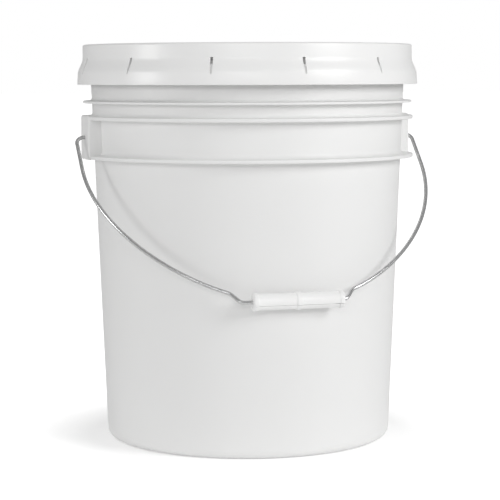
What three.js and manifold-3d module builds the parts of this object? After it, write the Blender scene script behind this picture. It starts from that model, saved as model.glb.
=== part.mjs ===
// A plastic fermenting bucket: a moulded pail with three stacking rings and two bail ears, a lid
// that snaps over its rim, with a gasket and an airlock grommet, and a wire bail with a hand grip.
// Millimetres, +Z up. The origin is on the floor, on the pail's axis. The bail swings about X,
// and at rest it hangs towards -Y with its grip lying against the pail.

import * as THREE from "three";
import { mergeVertices } from "three/addons/utils/BufferGeometryUtils.js";
import Module from "manifold-3d";

const wasm = await Module();
wasm.setup();

// ---- Driving dimensions ----

// Pail
const pailHeight = 363.7; // floor to the top of the rim
const footRadius = 133.6; // outside of the wall, run down to the floor
const rimRadius = 147.7; // outside of the wall, run up to the rim
const pailWall = 2.3;
const floorThickness = 2.8;
const floorRise = 3; // the middle of the floor stands this far above the foot ring
const footWidth = 14; // flat ring that the pail stands on
const cornerRadius = 8.5; // outside, from the wall to the foot ring
const rimBeadReach = 2.5; // the rim's bead stands this far out of the wall
const rimBeadHeight = 8.5;
const rimRounding = 1.2;

// Stacking rings, from the top one down: the depth of each underside below the rim, how far the
// ring stands out of the wall, its thickness at the edge, and the fillet on its upper side.
const stackingRings = [
  { depth: 49.4, reach: 8.4, edge: 2.2, fillet: 2.5 },
  { depth: 64.4, reach: 10.1, edge: 3.2, fillet: 3 },
  { depth: 100.1, reach: 11.7, edge: 3.2, fillet: 4 },
];
const ringSlope = 0.6; // a ring's upper side rises this much towards the wall
const ringRounding = 0.8;

// Bail ears, which span from the lowest ring to the one above it
const earWidth = 36;
const earReach = 0.2; // the ear's face stands this far outside the lowest ring
const earBelowRing = 0.8; // past the lowest ring's underside
const earAboveRing = 1.2; // past the middle ring's upper edge
const earCorner = 4;
const earBevel = 1.5;
const earWall = 2.4;
const earWeb = 7.6; // solid web between the two pockets, which holds the bail's end
const pivotDepth = 9.4; // blind bail hole

// Lid
const lidWall = 2;
const lidPanelDepth = 15.8; // the lid's rim stands this far above its panel
const lidPlateau = 62; // radius of the raised middle of the panel
const lidPlateauRise = 1.2;
const lidFillet = 2;
const skirtDepth = 36.8; // the lid's top to the skirt's lower edge
const skirtBandDepth = 12.3; // upright upper band
const skirtFlareDepth = 26; // where the flare ends and the lower band starts
const skirtFlare = 4.6; // the flare's step outwards
const skirtDraft = 0.7; // further outwards over the lower band
const snapBeadHeight = 3;
const slitCount = 12;
const slitWidth = 2.6;
const slitTopDepth = 12.8;
const slitHeight = 6; // the open window
const scoreWidth = 1.8; // a score line in the outside runs on down from each window
const scoreLength = 8.5;
const scoreLeft = 1.2; // of the wall, behind the score line
const slitTurn = 2.6; // degrees from -Y towards +X to the first slit

// Gasket and grommet
const gasketThickness = 2;
const gasketWidth = 4.4;
const portRadius = 6.35; // hole drilled through the lid for the airlock
const portOffset = 84; // from the lid's middle, towards +Y
const grommetBore = 4.75;
const grommetFlange = 9.5;
const grommetFlangeThickness = 2.2;

// Bail and grip
const wireRadius = 1.75;
const bailDrop = 39.4; // the bail is this much longer, to the grip's centreline, than half its width
const bailElbow = 7.9; // bend radius of the elbow outside each ear
const sweepDepth = 164.4; // the arms start to sweep in this far above the grip's centreline
const shoulderPull = 67; // how long the sweep keeps the arm's direction
const sweepPull = 60; // how long it keeps the slope it has above the grip
const sweepSlope = 25.3; // degrees, where the sweep meets the offset above the grip
const offsetRise = 11.7; // the sweep ends this far above the grip's centreline
const offsetLength = 13; // along the grip's centreline
const offsetPull = 6;
const seatPlay = 3.8; // the wire's straight seat is this much longer than the grip, each end
const gripLength = 83;
const gripRadius = 7.3;
const gripCollar = 0.7; // the collars at both ends and the middle stand this far out
const gripEndCollar = 4;
const gripMiddleCollar = 6;
const gripRounding = 1;
const gripSlit = 1.2;
const gripSlitTurn = 25; // degrees below straight out of the pail, as the grip hangs
const gripShift = 3.4; // the grip has slid this far along its seat towards +X

// Clearances
const touch = 0.3; // between pieces that rest on each other
const runningClearance = 0.08; // radial, of the wire in the ears and in the grip
const beadClearance = 0.3; // radial, from the lid's snap bead to the rim's bead
const skirtClearance = 1.8; // radial, from the lid's skirt to the rim's bead
const plugClearance = 0.4; // radial, from the lid's plug wall to the pail
const bailClearance = 2.95; // from the bail's arms to the lid's skirt, as they swing past it
const gripClearance = 0.5; // from the grip to the wall that it hangs against

// Faceting
const lidFacets = 72;
const wireSides = 8;
const boreSides = 16;
const gripFacets = 24;
const grommetFacets = 24;
const curveSteps = 2;
const elbowSteps = 5;
const sweepSteps = 16;
const offsetSteps = 6;

// ---- Sizes that follow ----

const rad = THREE.MathUtils.degToRad;
const wallRadius = (z) => footRadius + ((rimRadius - footRadius) * z) / pailHeight;
const innerRadius = (z) => wallRadius(z) - pailWall;

const rings = stackingRings.map(({ depth, reach, edge, fillet }) => {
  const underside = pailHeight - depth;
  return { underside, top: underside + edge, radius: wallRadius(underside) + reach, fillet };
});
const lowestRing = rings[rings.length - 1];
const ringAbove = rings[rings.length - 2];

const earFace = lowestRing.radius + earReach;
const earBottom = lowestRing.underside - earBelowRing;
const earTop = ringAbove.top + earAboveRing;
const earHeight = earTop - earBottom;
const pivotHeight = (earTop + earBottom) / 2;
const pivotBottom = earFace - pivotDepth;

const rimBeadRadius = rimRadius + rimBeadReach;
const lidCeiling = pailHeight + gasketThickness + 2 * touch;
const lidTop = lidCeiling + lidWall;
const lidPanelTop = lidTop - lidPanelDepth;
const lidPanelUnderside = lidPanelTop - lidWall;
const plugRadius = innerRadius(lidPanelUnderside) - plugClearance;
const bandRadius = rimBeadRadius + skirtClearance + lidWall;
const flareRadius = bandRadius + skirtFlare;
const skirtRadius = flareRadius + skirtDraft;
const snapBeadRadius = rimBeadRadius + beadClearance;
const snapBeadTop = pailHeight - rimBeadHeight - touch;

const bailHalfWidth = Math.max(
  skirtRadius + bailClearance + wireRadius,
  earFace + bailElbow + touch,
); // to the wire's centreline
const bailReach = bailHalfWidth + bailDrop; // from the pivot to the grip's centreline
const shoulderEnd = bailReach - sweepDepth; // the arms run straight this far from the pivot line

// The angle from straight down at which the grip lies against the tapered wall
const wallSlope = (rimRadius - footRadius) / pailHeight;
const gripReach = gripRadius + gripCollar;
const gripStandOff = (gripReach + gripClearance) * Math.hypot(1, wallSlope);
function restAngle() {
  let angle = 0;
  for (let pass = 0; pass < 40; pass += 1) {
    const gripHeight = pivotHeight - bailReach * Math.cos(angle);
    angle = Math.asin((wallRadius(gripHeight) + gripStandOff) / bailReach);
  }
  return angle;
}

// ---- Solids ----

function solidFrom(geometry) {
  const bare = geometry.clone();
  bare.deleteAttribute("normal");
  bare.deleteAttribute("uv");
  const merged = mergeVertices(bare, 1e-4);
  const triVerts = new Uint32Array(merged.index.array);
  const vertProperties = merged.attributes.position.array;
  return new wasm.Manifold(new wasm.Mesh({ numProp: 3, vertProperties, triVerts }));
}

function geometryFrom(solid) {
  const { vertProperties, triVerts } = solid.getMesh();
  const geometry = new THREE.BufferGeometry();
  geometry.setAttribute("position", new THREE.BufferAttribute(vertProperties, 3));
  geometry.setIndex(new THREE.BufferAttribute(triVerts, 1));
  geometry.computeVertexNormals();
  return geometry;
}

// A profile of (radius, height) turned about Z
function turned(profile, facets) {
  const geometry = new THREE.LatheGeometry(profile.getPoints(curveSteps), facets);
  return geometry.rotateX(Math.PI / 2);
}

// A closed ring section (an array of [radius, height] pairs, anticlockwise) turned about Z
function turnedRing(section, facets) {
  const points = [...section, section[0]].map(([r, z]) => new THREE.Vector2(r, z));
  return new THREE.LatheGeometry(points, facets).rotateX(Math.PI / 2);
}

// A prism whose outline is in the YZ plane, from one X to another
function prismAlongX(outline, fromX, toX, bevel = 0) {
  const geometry = new THREE.ExtrudeGeometry(outline, {
    depth: toX - fromX - bevel,
    bevelEnabled: bevel > 0,
    bevelThickness: bevel,
    bevelSize: bevel,
    bevelOffset: -bevel,
    bevelSegments: curveSteps,
    curveSegments: 3,
  });
  const outOfPlane = new THREE.Matrix4().makeBasis(
    new THREE.Vector3(0, 1, 0),
    new THREE.Vector3(0, 0, 1),
    new THREE.Vector3(1, 0, 0),
  );
  return geometry.applyMatrix4(outOfPlane).translate(fromX, 0, 0);
}

function blockBetween(low, high) {
  const geometry = new THREE.BoxGeometry(high[0] - low[0], high[1] - low[1], high[2] - low[2]);
  const middle = low.map((value, axis) => (value + high[axis]) / 2);
  return geometry.translate(...middle);
}

function roundedRectangle(width, height, corner) {
  const x = width / 2;
  const y = height / 2;
  const outline = new THREE.Shape();
  outline.moveTo(-x + corner, -y);
  outline.lineTo(x - corner, -y);
  outline.quadraticCurveTo(x, -y, x, -y + corner);
  outline.lineTo(x, y - corner);
  outline.quadraticCurveTo(x, y, x - corner, y);
  outline.lineTo(-x + corner, y);
  outline.quadraticCurveTo(-x, y, -x, y - corner);
  outline.lineTo(-x, -y + corner);
  outline.quadraticCurveTo(-x, -y, -x + corner, -y);
  return outline;
}

// A bore along X whose flats clear a pin of the given radius
function boreAlongX(radius, fromX, toX) {
  const drill = new THREE.CylinderGeometry(
    radius / Math.cos(Math.PI / boreSides),
    radius / Math.cos(Math.PI / boreSides),
    toX - fromX,
    boreSides,
  );
  return drill.rotateZ(Math.PI / 2).translate((fromX + toX) / 2, 0, 0);
}

// ---- Pail ----

function addStackingRing(profile, { underside, top, radius, fillet }) {
  const filletStart = top + ringSlope;
  const filletEnd = filletStart + fillet;
  profile.lineTo(wallRadius(underside), underside);
  profile.lineTo(radius - ringRounding, underside);
  profile.quadraticCurveTo(radius, underside, radius, underside + ringRounding);
  profile.lineTo(radius, top - ringRounding);
  profile.quadraticCurveTo(radius, top, radius - ringRounding, top);
  profile.lineTo(wallRadius(filletStart) + fillet, filletStart);
  profile.quadraticCurveTo(wallRadius(filletStart), filletStart, wallRadius(filletEnd), filletEnd);
}

// The outside of the pail as a full body, before it is hollowed
function pailBody() {
  const footOuter = wallRadius(cornerRadius) - cornerRadius;
  const footInner = footOuter - footWidth;
  const beadBottom = pailHeight - rimBeadHeight;
  const profile = new THREE.Path();
  profile.moveTo(0, floorRise);
  profile.lineTo(footInner - floorRise, floorRise);
  profile.lineTo(footInner, 0);
  profile.lineTo(footOuter, 0);
  profile.absarc(footOuter, cornerRadius, cornerRadius, -Math.PI / 2, 0, false);
  for (const ring of [...rings].reverse()) addStackingRing(profile, ring);
  profile.lineTo(wallRadius(beadBottom), beadBottom);
  profile.lineTo(rimBeadRadius, beadBottom + rimBeadReach / 2);
  profile.lineTo(rimBeadRadius, pailHeight - rimRounding);
  profile.quadraticCurveTo(rimBeadRadius, pailHeight, rimBeadRadius - rimRounding, pailHeight);
  profile.lineTo(0, pailHeight);
  return turned(profile, lidFacets);
}

function pailCavity() {
  const floorTop = floorThickness;
  const innerCorner = cornerRadius - pailWall;
  const cornerTop = floorTop + innerCorner;
  const footInner = wallRadius(cornerRadius) - cornerRadius - footWidth;
  const above = pailHeight + 1;
  const profile = new THREE.Path();
  profile.moveTo(0, floorTop + floorRise);
  profile.lineTo(footInner - floorRise, floorTop + floorRise);
  profile.lineTo(footInner, floorTop);
  profile.lineTo(innerRadius(cornerTop) - innerCorner, floorTop);
  profile.quadraticCurveTo(innerRadius(floorTop), floorTop, innerRadius(cornerTop), cornerTop);
  profile.lineTo(innerRadius(pailHeight - rimRounding), pailHeight - rimRounding);
  profile.lineTo(innerRadius(pailHeight) + rimRounding, pailHeight);
  profile.lineTo(innerRadius(pailHeight) + rimRounding, above);
  profile.lineTo(0, above);
  return turned(profile, lidFacets);
}

// One ear, on the +X side, reaching in through the wall
function earBlock() {
  const outline = roundedRectangle(earWidth, earHeight, earCorner);
  const inWall = innerRadius(earBottom) - pailWall;
  return prismAlongX(outline, inWall, earFace, earBevel).translate(0, 0, pivotHeight);
}

// The ear is hollow from below, on both sides of the web that holds the bail
function earPocket(side) {
  const pocketInner = wallRadius(earTop) + touch;
  const near = earWeb / 2;
  const far = earWidth / 2 - earWall;
  const low = [pocketInner, side > 0 ? near : -far, earBottom - 1];
  const high = [earFace - earWall, side > 0 ? far : -near, earTop - earWall];
  return blockBetween(low, high);
}

function bucket() {
  let body = solidFrom(pailBody());
  let cuts = solidFrom(pailCavity());
  for (const turn of [0, Math.PI]) {
    body = body.add(solidFrom(earBlock().rotateZ(turn)));
    for (const side of [1, -1]) cuts = cuts.add(solidFrom(earPocket(side).rotateZ(turn)));
    const hole = boreAlongX(wireRadius + runningClearance, pivotBottom, earFace + 1);
    cuts = cuts.add(solidFrom(hole.translate(0, 0, pivotHeight).rotateZ(turn)));
  }
  return geometryFrom(body.subtract(cuts));
}

// ---- Lid ----

function lidBody() {
  const bandBottom = lidTop - skirtBandDepth;
  const flareBottom = lidTop - skirtFlareDepth;
  const skirtBottom = lidTop - skirtDepth;
  const flarePull = (bandBottom - flareBottom) / 3;
  const snapBeadBottom = snapBeadTop - snapBeadHeight;
  const snapRamp = bandRadius - lidWall - snapBeadRadius;
  const plugInner = plugRadius - lidWall;
  const profile = new THREE.Path();
  profile.moveTo(0, lidPanelUnderside + lidPlateauRise);
  profile.lineTo(lidPlateau - lidPlateauRise, lidPanelUnderside + lidPlateauRise);
  profile.lineTo(lidPlateau, lidPanelUnderside);
  profile.lineTo(plugRadius - lidFillet, lidPanelUnderside);
  profile.quadraticCurveTo(
    plugRadius,
    lidPanelUnderside,
    plugRadius,
    lidPanelUnderside + lidFillet,
  );
  profile.lineTo(plugRadius, lidCeiling);
  profile.lineTo(bandRadius - lidWall, lidCeiling);
  profile.lineTo(bandRadius - lidWall, snapBeadTop + snapRamp);
  profile.lineTo(snapBeadRadius, snapBeadTop);
  profile.lineTo(snapBeadRadius, snapBeadBottom);
  profile.lineTo(flareRadius - lidWall, flareBottom);
  profile.lineTo(skirtRadius - lidWall, skirtBottom);
  profile.lineTo(skirtRadius, skirtBottom);
  profile.lineTo(flareRadius, flareBottom);
  profile.bezierCurveTo(
    flareRadius - skirtDraft,
    flareBottom + flarePull,
    bandRadius,
    bandBottom - flarePull,
    bandRadius,
    bandBottom,
  );
  profile.lineTo(bandRadius, lidTop - lidFillet);
  profile.quadraticCurveTo(bandRadius, lidTop, bandRadius - lidFillet, lidTop);
  profile.lineTo(plugInner + lidFillet, lidTop);
  profile.quadraticCurveTo(plugInner, lidTop, plugInner, lidTop - lidFillet);
  profile.lineTo(plugInner, lidPanelTop + lidFillet);
  profile.quadraticCurveTo(plugInner, lidPanelTop, plugInner - lidFillet, lidPanelTop);
  profile.lineTo(lidPlateau, lidPanelTop);
  profile.lineTo(lidPlateau - lidPlateauRise, lidPanelTop + lidPlateauRise);
  profile.lineTo(0, lidPanelTop + lidPlateauRise);
  return turned(profile, lidFacets);
}

// A window through the skirt and a score line below it, where the skirt is cut to take the lid off
function skirtSlit(index) {
  const windowTop = lidTop - slitTopDepth;
  const windowBottom = windowTop - slitHeight;
  const scoreBottom = windowBottom - scoreLength;
  const scoreHigh = [bandRadius - lidWall + scoreLeft, windowBottom + touch];
  const scoreLow = [flareRadius - lidWall + scoreLeft, scoreBottom];
  const score = new THREE.Shape();
  score.moveTo(-skirtRadius - 1, scoreBottom);
  score.lineTo(-scoreLow[0], scoreLow[1]);
  score.lineTo(-scoreHigh[0], scoreHigh[1]);
  score.lineTo(-skirtRadius - 1, windowBottom + touch);
  const opening = blockBetween(
    [-slitWidth / 2, -skirtRadius - 1, windowBottom],
    [slitWidth / 2, -rimBeadRadius + 1, windowTop],
  );
  const turn = rad(slitTurn + (index * 360) / slitCount);
  const line = prismAlongX(score, -scoreWidth / 2, scoreWidth / 2);
  return solidFrom(opening.rotateZ(turn)).add(solidFrom(line.rotateZ(turn)));
}

function lid() {
  let body = solidFrom(lidBody());
  for (let index = 0; index < slitCount; index += 1) {
    body = body.subtract(skirtSlit(index));
  }
  const drill = new THREE.CylinderGeometry(portRadius, portRadius, 4 * lidWall, grommetFacets);
  drill.rotateX(Math.PI / 2).translate(0, portOffset, lidPanelTop - lidWall / 2);
  return geometryFrom(body.subtract(solidFrom(drill)));
}

function gasket() {
  const inner = innerRadius(pailHeight) + touch;
  const outer = inner + gasketWidth;
  const bottom = pailHeight + touch;
  const top = bottom + gasketThickness;
  const section = [
    [inner, bottom],
    [outer, bottom],
    [outer, top - touch],
    [outer - touch, top],
    [inner + touch, top],
    [inner, top - touch],
  ];
  return turnedRing(section, lidFacets);
}

// A rubber grommet that grips the panel between its two flanges
function grommet() {
  const neck = portRadius - touch;
  const upper = lidPanelTop + touch;
  const lower = lidPanelUnderside - touch;
  const top = upper + grommetFlangeThickness;
  const bottom = lower - grommetFlangeThickness;
  const chamfer = grommetFlangeThickness / 3;
  const section = [
    [grommetBore, bottom],
    [grommetFlange - chamfer, bottom],
    [grommetFlange, bottom + chamfer],
    [grommetFlange, lower],
    [neck, lower],
    [neck, upper],
    [grommetFlange, upper],
    [grommetFlange, top - chamfer],
    [grommetFlange - chamfer, top],
    [grommetBore, top],
  ];
  return turnedRing(section, grommetFacets).translate(0, portOffset, 0);
}

// ---- Bail ----

// The wire's route in its own plane: X along the pivot line, Z away from it downwards. Each bend
// gets its own sections, so a tight bend is as smooth as the long sweep.
class WireRoute extends THREE.Curve {
  constructor(points) {
    super();
    this.points = points;
  }

  getPoint(t) {
    const last = this.points.length - 1;
    return this.points[Math.round(THREE.MathUtils.clamp(t, 0, 1) * last)].clone();
  }

  getTangent(t) {
    const last = this.points.length - 1;
    const index = Math.round(t * last);
    const before = this.points[Math.max(index - 1, 0)];
    const after = this.points[Math.min(index + 1, last)];
    return after.clone().sub(before).normalize();
  }

  getPointAt(u) {
    return this.getPoint(u);
  }

  getTangentAt(u) {
    return this.getTangent(u);
  }
}

function bailRoute() {
  const slope = rad(sweepSlope);
  const wireEnd = pivotBottom + touch;
  const offsetEnd = gripLength / 2 + seatPlay;
  const sweepEnd = offsetEnd + offsetLength;
  const sweepEndReach = bailReach - offsetRise;
  const half = new THREE.Path();
  half.moveTo(wireEnd, 0);
  half.lineTo(bailHalfWidth - bailElbow, 0);
  half.absarc(bailHalfWidth - bailElbow, bailElbow, bailElbow, -Math.PI / 2, 0, false);
  half.lineTo(bailHalfWidth, shoulderEnd);
  half.bezierCurveTo(
    bailHalfWidth,
    shoulderEnd + shoulderPull,
    sweepEnd + sweepPull * Math.cos(slope),
    sweepEndReach - sweepPull * Math.sin(slope),
    sweepEnd,
    sweepEndReach,
  );
  half.bezierCurveTo(
    sweepEnd - offsetPull * Math.cos(slope),
    sweepEndReach + offsetPull * Math.sin(slope),
    offsetEnd + offsetPull,
    bailReach,
    offsetEnd,
    bailReach,
  );
  const steps = [1, elbowSteps, 1, sweepSteps, offsetSteps];
  const later = half.curves.flatMap((curve, index) => curve.getPoints(steps[index]).slice(1));
  const outline = [new THREE.Vector2(wireEnd, 0), ...later];
  const right = outline.map((p) => new THREE.Vector3(p.x, 0, -p.y));
  const left = right.map((p) => new THREE.Vector3(-p.x, 0, p.z)).reverse();
  return new WireRoute([...right, ...left]);
}

function bailWire() {
  const route = bailRoute();
  const section = new THREE.Shape();
  for (let side = 0; side < wireSides; side += 1) {
    const angle = (side * 2 * Math.PI) / wireSides;
    const point = [wireRadius * Math.cos(angle), wireRadius * Math.sin(angle)];
    if (side === 0) section.moveTo(...point);
    else section.lineTo(...point);
  }
  section.closePath();
  const steps = route.points.length - 1;
  return new THREE.ExtrudeGeometry(section, { steps, extrudePath: route, bevelEnabled: false });
}

// A moulded grip, collared at both ends and in the middle, that snaps over the wire by its slit
function grip() {
  const bore = (wireRadius + runningClearance) / Math.cos(Math.PI / gripFacets);
  const collar = gripRadius + gripCollar;
  const end = gripLength / 2;
  const half = [
    [gripRadius, gripMiddleCollar / 2 + gripCollar],
    [gripRadius, end - gripEndCollar - gripCollar],
    [collar, end - gripEndCollar],
    [collar, end - gripRounding],
    [collar - gripRounding, end],
    [bore, end],
  ];
  const middle = [collar, gripMiddleCollar / 2];
  const mirrored = [middle, ...half].map(([r, z]) => [r, -z]).reverse();
  const body = turnedRing([...mirrored, middle, ...half], gripFacets).rotateY(Math.PI / 2);
  const slit = blockBetween([-end - 1, -gripSlit / 2, 0], [end + 1, gripSlit / 2, collar + 1]);
  slit.rotateX(Math.PI / 2 + rad(gripSlitTurn) + restAngle());
  return geometryFrom(solidFrom(body).subtract(solidFrom(slit)));
}

// ---- Assembly ----

const finishes = {
  pail: { color: 0xf2f2f0, roughness: 0.42, metalness: 0 },
  lid: { color: 0xf4f4f2, roughness: 0.32, metalness: 0 },
  rubber: { color: 0x8d8f8e, roughness: 0.75, metalness: 0 },
  wire: { color: 0xb6b8ba, roughness: 0.35, metalness: 0.9 },
  grip: { color: 0xf7f7f5, roughness: 0.38, metalness: 0 },
};

function piece(name, geometry, finish) {
  const mesh = new THREE.Mesh(geometry, new THREE.MeshStandardMaterial(finishes[finish]));
  mesh.name = name;
  return mesh;
}

// The bail's own frame: the pivot line is X, and the grip is straight below it
function bail() {
  const assembly = new THREE.Group();
  const handGrip = piece("grip", grip(), "grip");
  handGrip.position.set(gripShift, 0, -bailReach);
  assembly.add(piece("bail_wire", bailWire(), "wire"), handGrip);
  assembly.position.set(0, 0, pivotHeight);
  assembly.rotation.x = -restAngle();
  return assembly;
}

function fermentingBucket() {
  const assembly = new THREE.Group();
  assembly.add(piece("bucket", bucket(), "pail"));
  assembly.add(piece("lid", lid(), "lid"));
  assembly.add(piece("lid_gasket", gasket(), "rubber"));
  assembly.add(piece("airlock_grommet", grommet(), "rubber"));
  assembly.add(bail());
  return assembly;
}

export default fermentingBucket();
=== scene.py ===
"""A plastic fermenting bucket: moulded pail, snapped-on lid, gasket, grommet and wire bail.

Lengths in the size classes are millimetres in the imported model's own frame: +Z up, the floor at
zero, the pail's axis at X = Y = 0, and the bail's pivot line along X. Meshes are in metres.
"""

import logging
import math
from collections.abc import Callable, Iterable, Sequence
from dataclasses import dataclass, field
from enum import Enum

import bmesh
import bpy
from mathutils import Matrix, Vector


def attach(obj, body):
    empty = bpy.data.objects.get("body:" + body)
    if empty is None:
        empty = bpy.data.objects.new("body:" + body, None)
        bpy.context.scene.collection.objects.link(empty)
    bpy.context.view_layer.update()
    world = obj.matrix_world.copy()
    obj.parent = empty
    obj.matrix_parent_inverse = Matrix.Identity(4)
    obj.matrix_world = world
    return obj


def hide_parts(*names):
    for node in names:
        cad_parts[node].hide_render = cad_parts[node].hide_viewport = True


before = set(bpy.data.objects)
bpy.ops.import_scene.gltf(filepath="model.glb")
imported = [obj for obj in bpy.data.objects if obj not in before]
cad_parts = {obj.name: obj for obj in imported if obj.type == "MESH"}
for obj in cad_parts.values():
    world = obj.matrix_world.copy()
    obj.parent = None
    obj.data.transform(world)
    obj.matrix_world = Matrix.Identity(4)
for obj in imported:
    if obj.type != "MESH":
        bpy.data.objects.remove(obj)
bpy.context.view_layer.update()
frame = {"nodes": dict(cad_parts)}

LOG = logging.getLogger("fermenting_bucket")
MM = 0.001
FULL_TURN = 2 * math.pi
MERGE = 0.004 * MM
SMOOTH_ANGLE = math.radians(32)
Point = tuple[float, float]
Point3 = tuple[float, float, float]
Value = bpy.types.NodeSocket | float
Links = dict[str | int, Value | tuple[float, ...]]


class Slot(Enum):
    """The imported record's material slots."""

    PAIL = "pail_plastic"
    LID = "lid_plastic"
    GRIP = "grip_plastic"
    RUBBER = "seal_rubber"
    STEEL = "bail_steel"


class Body(Enum):
    """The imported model's moving bodies."""

    BUCKET = "bucket"
    LID = "lid"
    BAIL = "bail"
    GRIP = "grip"


# ---- Sections ----


@dataclass(frozen=True)
class Corner:
    """A corner of a turned section: its radius from the axis, its height and its rounding."""

    r: float
    z: float
    round: float = 0.0


def rounded(corners: Sequence[Corner], closed: bool, arc_steps: int = 5) -> list[Point]:
    """Rounds a section's corners.

    Args:
        corners: the section's corners in order.
        closed: whether the last corner joins the first.
        arc_steps: the number of edges in each rounding.

    Returns:
        The section's points, as (radius, height) in millimetres.
    """
    count = len(corners)
    points: list[Point] = []
    for index, corner in enumerate(corners):
        at = Vector((corner.r, corner.z))
        is_end = not closed and index in (0, count - 1)
        if corner.round <= 0 or is_end:
            points.append((at.x, at.y))
            continue
        before = corners[index - 1]
        after = corners[(index + 1) % count]
        to_before = Vector((before.r, before.z)) - at
        to_after = Vector((after.r, after.z)) - at
        half_angle = to_before.angle(to_after) / 2
        reach = min(
            corner.round / math.tan(half_angle),
            0.49 * to_before.length,
            0.49 * to_after.length,
        )
        start = at + to_before.normalized() * reach
        end = at + to_after.normalized() * reach
        radius = reach * math.tan(half_angle)
        middle = (to_before.normalized() + to_after.normalized()).normalized()
        centre = at + middle * (radius / math.sin(half_angle))
        first = start - centre
        sweep = first.angle_signed(end - centre)
        for step in range(arc_steps + 1):
            turned = first.copy()
            turned.rotate(Matrix.Rotation(-sweep * step / arc_steps, 2))
            points.append((centre.x + turned.x, centre.y + turned.y))
    return points


def ridge(
    start: float, end: float, level: float, rise: float, slope: float, soft: float
) -> list[Corner]:
    """Returns the corners of a low ridge that runs round a flat face.

    Args:
        start: the radius where the ridge starts.
        end: the radius where it ends, on either side of the start.
        level: the flat face's height.
        rise: how far the ridge stands above the face, or below it if negative.
        slope: how wide each of its sides is.
        soft: the rounding of its corners.

    Returns:
        Its four corners, from start to end.
    """
    step = math.copysign(slope, end - start)
    return [
        Corner(start, level, soft),
        Corner(start + step, level + rise, soft),
        Corner(end - step, level + rise, soft),
        Corner(end, level, soft),
    ]


def bezier(ends: Sequence[Point], steps: int) -> list[Point]:
    """Samples a cubic curve given by its four points.

    Args:
        ends: start, start's handle, end's handle and end.
        steps: the number of edges.

    Returns:
        The points after the start, up to the end.
    """
    start, first, second, end = (Vector(p) for p in ends)
    points = []
    for step in range(1, steps + 1):
        t = step / steps
        u = 1 - t
        at = start * u**3 + first * (3 * u * u * t) + second * (3 * u * t * t) + end * t**3
        points.append((at.x, at.y))
    return points


# ---- Modelling by hand ----


def deselect() -> None:
    """Leaves edit mode and selects nothing."""
    if bpy.context.object and bpy.context.object.mode != "OBJECT":
        bpy.ops.object.mode_set(mode="OBJECT")
    bpy.ops.object.select_all(action="DESELECT")


def focus(piece: bpy.types.Object) -> None:
    """Selects one piece and makes it the active one.

    Args:
        piece: the piece.
    """
    deselect()
    piece.select_set(True)
    bpy.context.view_layer.objects.active = piece


def apply_place(piece: bpy.types.Object) -> bpy.types.Object:
    """Puts a piece's place, turn and scale into its mesh.

    Args:
        piece: the piece.

    Returns:
        The same piece.
    """
    focus(piece)
    bpy.ops.object.transform_apply(location=True, rotation=True, scale=True)
    return piece


def turn_by(angle: float, axis: str, centre: Point3 = (0, 0, 0)) -> None:
    """Turns what is selected about an axis by the right-hand rule.

    Args:
        angle: the turn, in radians. The operator counts it the other way.
        axis: X, Y or Z.
        centre: a point on the axis, in metres.
    """
    bpy.ops.transform.rotate(
        value=-angle, orient_axis=axis, orient_type="GLOBAL", center_override=centre
    )


def smooth(piece: bpy.types.Object, angle: float = SMOOTH_ANGLE) -> bpy.types.Object:
    """Shades a piece smooth.

    Args:
        piece: the piece.
        angle: the angle past which an edge stays sharp, in radians.

    Returns:
        The same piece.
    """
    focus(piece)
    bpy.ops.object.shade_smooth_by_angle(angle=angle, keep_sharp_edges=False)
    return piece


def draw_section(name: str, points: Sequence[Point], closed: bool) -> bpy.types.Object:
    """Draws a section in the XZ plane, one extruded vertex at a time.

    Args:
        name: the new piece's name.
        points: the section, as (radius, height) in millimetres.
        closed: whether the last point joins the first.

    Returns:
        The new piece, left in edit mode with all of it selected.
    """
    deselect()
    first = Vector((points[0][0], 0, points[0][1])) * MM
    bpy.ops.mesh.primitive_plane_add(size=MM, location=(0, 0, 0))
    piece = bpy.context.object
    piece.name = name
    piece.data.name = name
    bpy.ops.object.mode_set(mode="EDIT")
    bpy.ops.mesh.select_mode(type="VERT")
    bpy.ops.mesh.select_all(action="SELECT")
    bpy.ops.mesh.merge(type="CENTER")
    bpy.ops.transform.translate(value=first)
    path = [*points[1:], points[0]] if closed else points[1:]
    last = first
    for r, z in path:
        to = Vector((r, 0, z)) * MM
        bpy.ops.mesh.extrude_region_move(TRANSFORM_OT_translate={"value": to - last})
        last = to
    bpy.ops.mesh.select_all(action="SELECT")
    bpy.ops.mesh.remove_doubles(threshold=MERGE)
    return piece


def turn_section(
    name: str, points: Sequence[Point], closed: bool, steps: int
) -> bpy.types.Object:
    """Turns a section about Z into a closed body.

    Args:
        name: the new piece's name.
        points: the section, as (radius, height) in millimetres.
        closed: whether the section closes on itself, and not on the axis.
        steps: the number of faces round the body.

    Returns:
        The new piece, in object mode.
    """
    piece = draw_section(name, points, closed)
    bpy.ops.mesh.spin(steps=steps, angle=FULL_TURN, center=(0, 0, 0), axis=(0, 0, 1))
    bpy.ops.mesh.select_all(action="SELECT")
    bpy.ops.mesh.remove_doubles(threshold=MERGE)
    bpy.ops.mesh.normals_make_consistent(inside=False)
    bpy.ops.object.mode_set(mode="OBJECT")
    return piece


def add_block(name: str, low: Point3, high: Point3) -> bpy.types.Object:
    """Adds a block between two corners.

    Args:
        name: the new piece's name.
        low: its lowest corner, in millimetres.
        high: its highest corner, in millimetres.

    Returns:
        The block, with its place in its mesh.
    """
    deselect()
    centre = (Vector(low) + Vector(high)) / 2 * MM
    size = (Vector(high) - Vector(low)) * MM
    bpy.ops.mesh.primitive_cube_add(size=1, location=centre, scale=size)
    piece = bpy.context.object
    piece.name = name
    piece.data.name = name
    return apply_place(piece)


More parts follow.
